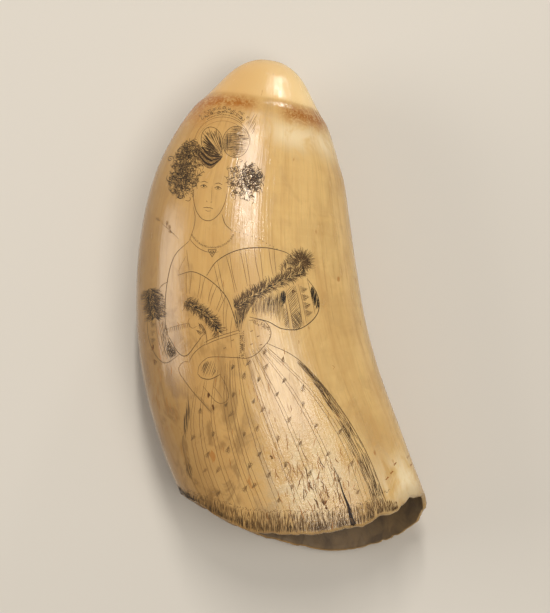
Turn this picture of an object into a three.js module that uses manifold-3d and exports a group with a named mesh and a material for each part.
// A sperm whale's tooth with an engraved face, lying on its broad side.
//
// The tooth is one solid: a curved, flattened cone that rounds off at a worn tip and opens at
// the root into the hollow that held the pulp. It is lofted from rings along a spine: outside
// from the tip down to the broken rim of the root, over the thin lip, and back up the inside of
// the hollow. Millimetres, +Z up, the tip towards +Y, the origin on the ground under the middle.

import * as THREE from "three";
import { LoftGeometry } from "three/addons/geometries/LoftGeometry.js";
import { mergeVertices } from "three/addons/utils/BufferGeometryUtils.js";
import Module from "manifold-3d";

// ---- Driving dimensions, in millimetres. "Along" is the distance down the spine from the tip.

// The spine in plan, [x, y], from the tip down to past the root: it bows towards -X.
const SPINE = [
  [-3.2, 76.2], [-5.8, 60.0], [-8.6, 42.0], [-10.4, 24.0], [-10.3, 6.0],
  [-8.2, -13.0], [-3.2, -32.0], [4.7, -51.0], [14.2, -70.0], [25.0, -88.0],
];

// Half of the width across the spine, [along, half width], before the tip is rounded off.
const HALF_WIDTH = [
  [0, 16.6], [8, 16.7], [13, 17.9], [19, 21.4], [27, 25.2], [38, 29.2],
  [55, 32.4], [75, 34.4], [98, 35.3], [122, 34.9], [145, 33.1], [165, 30.8],
];

// Height of the upper face and of the underside, [along, z], before the tip is rounded off.
const TOP = [
  [0, 33.5], [8, 34.3], [13, 35.8], [19, 38.0], [30, 41.2], [45, 44.2],
  [65, 46.3], [88, 46.6], [112, 44.6], [135, 41.2], [165, 36.0],
];
const UNDERSIDE = [
  [0, 8.6], [8, 7.6], [13, 6.6], [19, 4.9], [30, 2.6], [45, 0.7],
  [62, -0.4], [78, -0.6], [95, -0.2], [115, 1.0], [140, 3.0], [165, 5.4],
];

const TIP_ROUNDING = 20; // the tip rounds off over this length, as a quarter of an ellipse
const TIP_FLAT_ANGLE = 14; // degrees of that quarter worn off flat at the very tip
const OUTER_SQUARENESS = 2.15; // exponent of the outer rings: 2 is an ellipse, more is squarer
const INNER_SQUARENESS = 2.0;

// The broken rim of the root: how far along the spine the wall reaches, [angle, along].
// Angle 0 is the +X side, 90 the upper face, 180 the -X side and 270 the underside.
const RIM = [
  [0, 156.5], [12, 155.2], [25, 154.4], [38, 153.9], [44, 154.6], [50, 155.6],
  [60, 154.0], [68, 154.4], [80, 152.7], [95, 149.5], [110, 145.2], [125, 140.6],
  [140, 133.3], [152, 127.2], [165, 123.4], [180, 122.0], [195, 123.4], [210, 128.0],
  [225, 135.5], [240, 143.2], [255, 150.0], [268, 155.4], [285, 159.6], [305, 161.9],
  [325, 161.9], [345, 159.5], [360, 156.5],
];

const RIM_WALL = 1.7; // thickness of the wall at the rim
const LIP_ROUNDING = 0.5; // how far the lip's middle stands past its two edges
const HOLLOW_TOP = 92; // along: where the pulp hollow ends in a point
const HOLLOW_SWELL = 1.5; // the hollow keeps its width near the mouth and narrows higher up
const HOLLOW_ROUND = 0.8;

// A drying crack runs up from the rim through the upper wall.
const CRACK = { angle: 76, headAngle: 72, length: 17, width: 0.6, depth: 8 };

const AROUND = 64; // points in each ring
const TIP_RINGS = 11;
const BODY_RINGS = 36;
const HOLLOW_RINGS = 18;
const LEANS_FROM = 0.45; // share of the body where the rings begin to lean towards the rim
const MERGE_WITHIN = 1e-4; // points closer than this are one point

// ---- Curves

// A smooth curve through [at, value] knots: cubic pieces whose slopes follow their neighbours.
function curveThrough(knots) {
  const slope = (i) => {
    const before = knots[Math.max(i - 1, 0)];
    const after = knots[Math.min(i + 1, knots.length - 1)];
    return (after[1] - before[1]) / (after[0] - before[0]);
  };
  return (at) => {
    let i = 0;
    while (i < knots.length - 2 && at > knots[i + 1][0]) i += 1;
    const span = knots[i + 1][0] - knots[i][0];
    const t = (at - knots[i][0]) / span;
    const t2 = t * t;
    const t3 = t2 * t;
    return (
      (2 * t3 - 3 * t2 + 1) * knots[i][1] +
      (t3 - 2 * t2 + t) * span * slope(i) +
      (3 * t2 - 2 * t3) * knots[i + 1][1] +
      (t3 - t2) * span * slope(i + 1)
    );
  };
}

const spineAlong = [0];
for (let i = 1; i < SPINE.length; i += 1) {
  const step = Math.hypot(SPINE[i][0] - SPINE[i - 1][0], SPINE[i][1] - SPINE[i - 1][1]);
  spineAlong.push(spineAlong[i - 1] + step);
}
const spineX = curveThrough(SPINE.map((point, i) => [spineAlong[i], point[0]]));
const spineY = curveThrough(SPINE.map((point, i) => [spineAlong[i], point[1]]));
const halfWidth = curveThrough(HALF_WIDTH);
const top = curveThrough(TOP);
const underside = curveThrough(UNDERSIDE);
const rimAlong = curveThrough(RIM);

// Shrinks the rings near the tip so that it ends in a dome.
function dome(along) {
  return along < TIP_ROUNDING ? Math.sqrt(1 - (1 - along / TIP_ROUNDING) ** 2) : 1;
}

// ---- Rings

// The point at an angle of the ring at a distance along the spine. wall sinks it below the
// outside, share shrinks it towards the spine.
function ringPoint(along, degrees, squareness, wall = 0, share = 1) {
  const angle = THREE.MathUtils.degToRad(degrees);
  const across = Math.cos(angle);
  const up = Math.sin(angle);
  const reach = (Math.abs(across) ** squareness + Math.abs(up) ** squareness) ** (-1 / squareness);
  const halfHeight = ((top(along) - underside(along)) / 2) * dome(along);
  const middle = (top(along) + underside(along)) / 2;
  const step = 0.5;
  const tangent = new THREE.Vector2(
    spineX(along + step) - spineX(along - step),
    spineY(along + step) - spineY(along - step),
  ).normalize();
  const sideways = (halfWidth(along) * dome(along) - wall) * share * reach * across;
  const upwards = (halfHeight - wall) * share * reach * up;
  return new THREE.Vector3(
    spineX(along) - tangent.y * sideways,
    spineY(along) + tangent.x * sideways,
    middle + upwards,
  );
}

// One ring, seen from the root end: alongAt gives each point's distance along the spine.
function ring(alongAt, squareness, wall, share) {
  const points = [];
  for (let i = 0; i < AROUND; i += 1) {
    const degrees = (360 * i) / AROUND;
    points.push(ringPoint(alongAt(degrees), degrees, squareness, wall, share));
  }
  return points;
}

// Rings round the dome of the tip, evenly turned from its worn flat to its full width.
function tipRings() {
  const rings = [];
  for (let i = 0; i < TIP_RINGS; i += 1) {
    const degrees = THREE.MathUtils.lerp(TIP_FLAT_ANGLE, 90, i / TIP_RINGS);
    const along = TIP_ROUNDING * (1 - Math.cos(THREE.MathUtils.degToRad(degrees)));
    rings.push(ring(() => along, OUTER_SQUARENESS));
  }
  return rings;
}

// Rings down the body, square to the spine at first and then leaning over to meet the rim.
function bodyRings() {
  const rings = [];
  const shortest = Math.min(...RIM.map((knot) => knot[1]));
  for (let i = 0; i <= BODY_RINGS; i += 1) {
    const share = i / BODY_RINGS;
    const lean = THREE.MathUtils.smoothstep(share, LEANS_FROM, 1);
    const level = THREE.MathUtils.lerp(TIP_ROUNDING, shortest, share);
    rings.push(ring((degrees) => level + (rimAlong(degrees) - shortest) * lean, OUTER_SQUARENESS));
  }
  return rings;
}

// The middle of the lip, then rings up the inside of the hollow to its point.
function hollowRings() {
  const rings = [ring((degrees) => rimAlong(degrees) + LIP_ROUNDING, OUTER_SQUARENESS, RIM_WALL / 2)];
  for (let i = 0; i < HOLLOW_RINGS; i += 1) {
    const depth = i / (HOLLOW_RINGS - 1);
    const share = (1 - depth ** HOLLOW_SWELL) ** HOLLOW_ROUND;
    const squareness = THREE.MathUtils.lerp(OUTER_SQUARENESS, INNER_SQUARENESS, depth);
    const alongAt = (degrees) => THREE.MathUtils.lerp(rimAlong(degrees), HOLLOW_TOP, depth);
    rings.push(ring(alongAt, squareness, RIM_WALL, share));
  }
  return rings;
}

// ---- Solids

const wasm = await Module();
wasm.setup();

// A closed geometry as a solid that can be cut. Points at the same place become one, and the
// triangles that close up with them are left out.
function solidOf(geometry) {
  const bare = new THREE.BufferGeometry()
    .setAttribute("position", geometry.getAttribute("position"))
    .setIndex(geometry.index);
  const merged = mergeVertices(bare, MERGE_WITHIN);
  const corners = merged.index.array;
  const kept = [];
  for (let i = 0; i < corners.length; i += 3) {
    const [a, b, c] = corners.slice(i, i + 3);
    if (a !== b && b !== c && c !== a) kept.push(a, b, c);
  }
  return new wasm.Manifold(
    new wasm.Mesh({
      numProp: 3,
      vertProperties: new Float32Array(merged.attributes.position.array),
      triVerts: new Uint32Array(kept),
    }),
  );
}

function geometryOf(solid) {
  const mesh = solid.getMesh();
  const geometry = new THREE.BufferGeometry()
    .setAttribute("position", new THREE.BufferAttribute(mesh.vertProperties, 3))
    .setIndex(new THREE.BufferAttribute(mesh.triVerts, 1));
  geometry.computeVertexNormals();
  return geometry;
}

// Everything below the ground: cutting it off leaves the small flat that the tooth rests on.
function ground() {
  const size = 300;
  return solidOf(new THREE.BoxGeometry(size, size, size).translate(0, 0, -size / 2));
}

// The crack: a thin wedge through the upper wall, widest at the rim.
function crackWedge() {
  const rim = rimAlong(CRACK.angle);
  const root = ringPoint(rim + 2, CRACK.angle, OUTER_SQUARENESS);
  const head = ringPoint(rim - CRACK.length, CRACK.headAngle, OUTER_SQUARENESS);
  const run = new THREE.Vector2(head.x - root.x, head.y - root.y);
  const outline = new THREE.Shape([
    new THREE.Vector2(0, -CRACK.width / 2),
    new THREE.Vector2(run.length(), 0),
    new THREE.Vector2(0, CRACK.width / 2),
  ]);
  const wedge = new THREE.ExtrudeGeometry(outline, { depth: 2 * CRACK.depth, bevelEnabled: false });
  wedge.rotateZ(run.angle());
  wedge.translate(root.x, root.y, Math.min(root.z, head.z) - CRACK.depth);
  return solidOf(wedge);
}

function toothGeometry() {
  const rings = [...tipRings(), ...bodyRings(), ...hollowRings()];
  const loft = new LoftGeometry(rings, { capStart: true });
  const solid = solidOf(loft).subtract(ground()).subtract(crackWedge());
  const geometry = geometryOf(solid);
  geometry.computeBoundingBox();
  const centre = geometry.boundingBox.getCenter(new THREE.Vector3());
  return geometry.translate(-centre.x, -centre.y, 0);
}

const ivory = new THREE.MeshStandardMaterial({ color: 0xe3c58c, roughness: 0.35, metalness: 0 });

const tooth = new THREE.Mesh(toothGeometry(), ivory);
tooth.name = "tooth";

const part = new THREE.Group();
part.add(tooth);

export default part;
